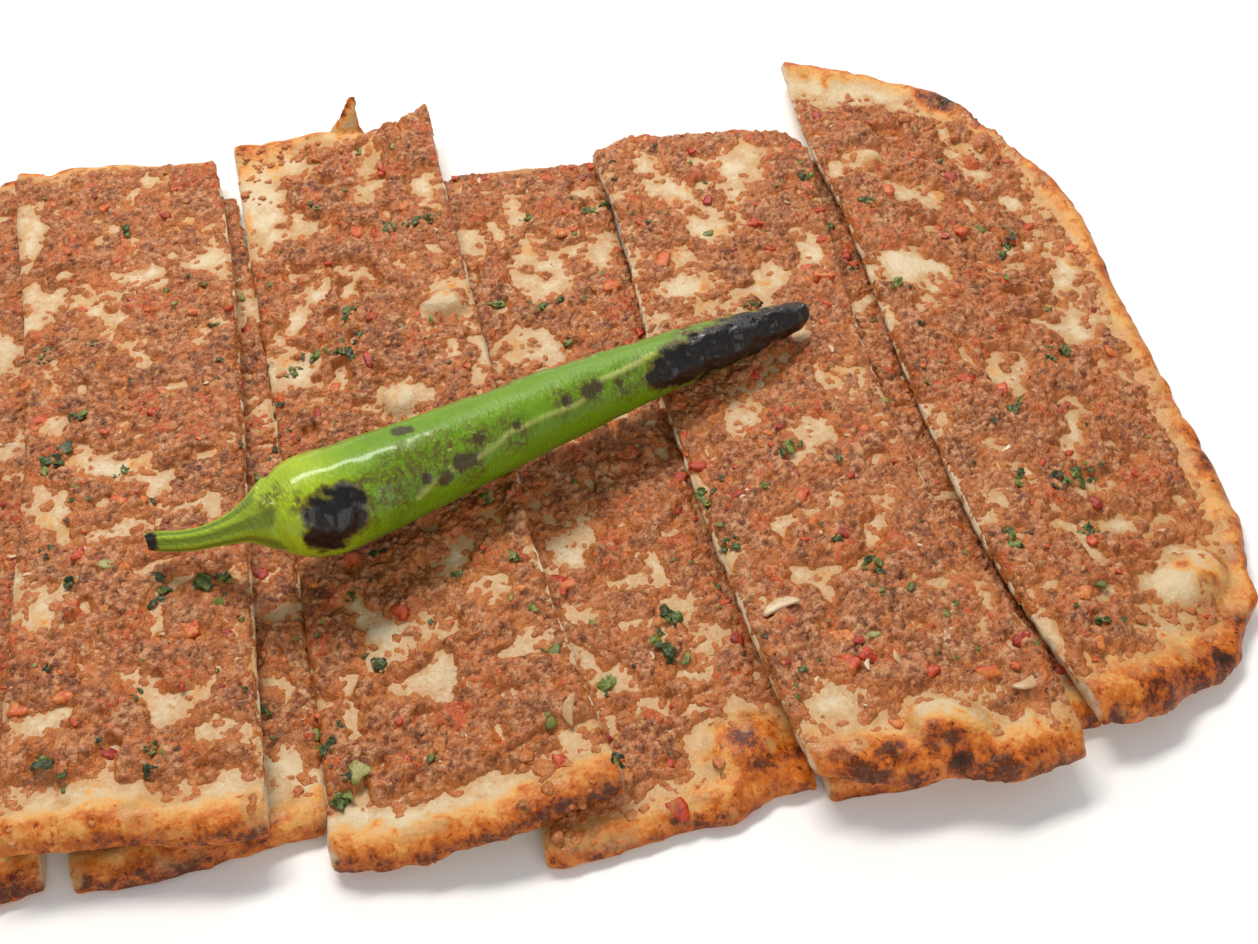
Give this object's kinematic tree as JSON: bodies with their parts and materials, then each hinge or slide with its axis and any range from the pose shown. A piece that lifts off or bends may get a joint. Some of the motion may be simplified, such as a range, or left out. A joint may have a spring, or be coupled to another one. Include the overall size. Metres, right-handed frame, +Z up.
{
  "type": "ground meat pide",
  "caption": "Long flat bread spread with ground meat, cut across into overlapping strips with rounded end pieces, and a charred green pepper lying across the top.",
  "frame": {"origin": "bottom centre of the whole pide, on the surface that it lies on", "axes": "+X along the pide from the rounded end piece on the left to the one on the right; +Y across it, along each slice and away from the viewer; +Z up"},
  "size_m": [0.3965, 0.2866, 0.0419],
  "materials": {
    "bread": "baked dough, pale in the middle and browned to black spots along the rim",
    "meat": "moist baked ground meat with a little fat shine, and bits of tomato, onion and parsley",
    "pepper": "glossy skin, blistered, with black char spots"
  },
  "bodies": {
    "root": {"slice_1_bread": "bread", "slice_1_meat": "meat", "slice_2_bread": "bread", "slice_2_meat": "meat", "slice_3_bread": "bread", "slice_3_meat": "meat", "slice_4_bread": "bread", "slice_4_meat": "meat", "slice_5_bread": "bread", "slice_5_meat": "meat", "slice_6_bread": "bread", "slice_6_meat": "meat", "slice_7_bread": "bread", "slice_7_meat": "meat", "slice_8_bread": "bread", "slice_8_meat": "meat", "pepper": "pepper"}
  },
  "joints": []
}
